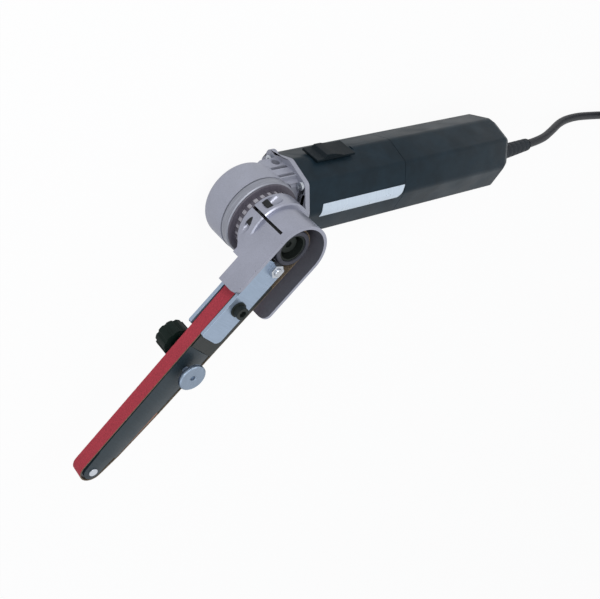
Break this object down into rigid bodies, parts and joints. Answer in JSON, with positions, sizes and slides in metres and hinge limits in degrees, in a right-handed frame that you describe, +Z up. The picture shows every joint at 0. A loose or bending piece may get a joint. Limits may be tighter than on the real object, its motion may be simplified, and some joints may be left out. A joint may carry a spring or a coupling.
{
  "type": "handheld belt sander",
  "caption": "Electric band file: long motor body with a slide switch, gear head, swivelling guarded arm with a narrow abrasive belt, and mains cord with plug.",
  "frame": {"origin": "on the floor under the spindle axis, at the middle of the gear housing's flat foot", "axes": "+X along the motor axis towards the cord, +Y the switch side, +Z up along the spindle axis towards the drive pulley"},
  "size_m": [0.739, 0.2652, 0.1065],
  "materials": {
    "cast_housing": "matt cast aluminium, light lavender grey",
    "machined_flange": "machined aluminium, satin",
    "dark_ring": "dark grey with bright notch floors",
    "dark_steel": "blackened steel, semi-matt",
    "screw_steel": "zinc-plated steel, satin",
    "bearing_steel": "ground steel with dark seals",
    "ground_steel": "ground steel",
    "gear_steel": "cut steel, lightly oiled",
    "sleeve_rubber": "matt black rubber",
    "cast_guard": "cast aluminium, satin, darker inside",
    "zinc_plate": "zinc-plated sheet, bluish satin",
    "arm_black": "black, semi-matt",
    "spring_steel": "spring steel",
    "arm_slate": "dark slate, satin",
    "pad_brown": "brown graphite and felt pad",
    "roller_steel": "steel, dull",
    "abrasive_red": "red abrasive grain on tan cloth",
    "zinc_knob": "zinc-plated steel, turned",
    "knob_black": "matt black plastic",
    "housing_black": "matt black plastic with fine grain",
    "lamination": "stacked steel laminations",
    "copper": "copper",
    "fan_plastic": "black moulded plastic",
    "brass_holder": "brass",
    "carbon": "graphite",
    "slider_black": "matt black plastic",
    "boot_rubber": "matt black rubber",
    "cord_black": "matt black rubber sheath",
    "tie_black": "black tie",
    "plug_black": "moulded black plug",
    "pin_metal": "nickel-plated brass"
  },
  "bodies": {
    "housing": {"gear_housing": "cast_housing", "bearing_flange": "machined_flange", "index_ring": "dark_ring", "retaining_ring": "dark_steel", "flange_screws": "dark_steel", "housing_screws": "screw_steel", "front_spindle_bearing": "bearing_steel", "rear_spindle_bearing": "bearing_steel", "front_motor_bearing": "bearing_steel", "rear_motor_bearing": "bearing_steel", "motor_housing": "housing_black", "rear_housing": "housing_black", "stator": "lamination", "field_windings": "copper", "brush_holders": "brass_holder", "carbon_brushes": "carbon", "switch_body": "fan_plastic", "cord_boot": "boot_rubber", "cord": "cord_black", "cord_coil": "cord_black", "cord_tie": "tie_black", "plug": "plug_black", "plug_pins": "pin_metal"},
    "rotor": {"motor_shaft": "ground_steel", "armature": "lamination", "commutator": "copper", "fan": "fan_plastic", "bevel_pinion": "gear_steel"},
    "drive": {"spindle": "ground_steel", "bevel_gear": "gear_steel", "pulley_hub": "dark_steel", "pulley_sleeve": "sleeve_rubber", "pulley_screw": "dark_steel"},
    "slider": {"switch_slider": "slider_black", "switch_rod": "fan_plastic"},
    "arm": {"arm_casting": "cast_guard", "clamp_screw": "screw_steel", "near_side_plate": "zinc_plate", "far_side_plate": "zinc_plate", "plate_stud": "screw_steel", "stud_nut": "screw_steel", "stud_spacer": "dark_steel", "plate_bolt": "dark_steel", "plate_nut": "dark_steel", "sanding_belt": "abrasive_red", "tension_spring": "spring_steel"},
    "tension_arm": {"arm_carrier": "arm_black", "contact_arm": "arm_slate", "shoe_pad": "pad_brown", "nose_axle": "screw_steel"},
    "nose": {"nose_roller": "roller_steel"},
    "tracking": {"tracking_screw": "zinc_knob"},
    "knob": {"release_knob": "knob_black"}
  },
  "joints": [
    {"name": "rotor_spin", "type": "hinge", "parent": "housing", "child": "rotor", "pos_m": [0, 0, 0.032], "axis": [1, 0, 0], "continuous": true},
    {"name": "drive_spin", "type": "hinge", "parent": "housing", "child": "drive", "pos_m": [0, 0, 0.032], "axis": [0, 0, 1], "continuous": true},
    {"name": "switch_slide", "type": "slide", "parent": "housing", "child": "slider", "axis": [-1, 0, 0], "range_m": [0, 0.006]},
    {"name": "arm_swivel", "type": "hinge", "parent": "housing", "child": "arm", "pos_m": [0, 0, 0.032], "axis": [0, 0, 1], "range_deg": [-150, 60]},
    {"name": "tension_slide", "type": "slide", "parent": "arm", "child": "tension_arm", "axis": [-0.6743, -0.7385, 0], "range_m": [-0.008, 0], "stiffness_N_per_m": 1500, "springref_m": 0.012, "deforming": ["tension_spring"]},
    {"name": "nose_spin", "type": "hinge", "parent": "tension_arm", "child": "nose", "pos_m": [-0.14917, -0.16336, 0.088], "axis": [0, 0, 1], "continuous": true},
    {"name": "tracking_turn", "type": "hinge", "parent": "tension_arm", "child": "tracking", "pos_m": [-0.07957, -0.08714, 0.1], "axis": [0, 0, 1], "range_deg": [-180, 180]},
    {"name": "release_turn", "type": "hinge", "parent": "tension_arm", "child": "knob", "pos_m": [-0.07461, -0.07948, 0.07], "axis": [0, 0, 1], "range_deg": [0, 180]}
  ],
  "couplings": [
    {"joint": "drive_spin", "follows": "rotor_spin", "ratio": -0.29545},
    {"joint": "nose_spin", "follows": "rotor_spin", "ratio": -0.48607}
  ]
}
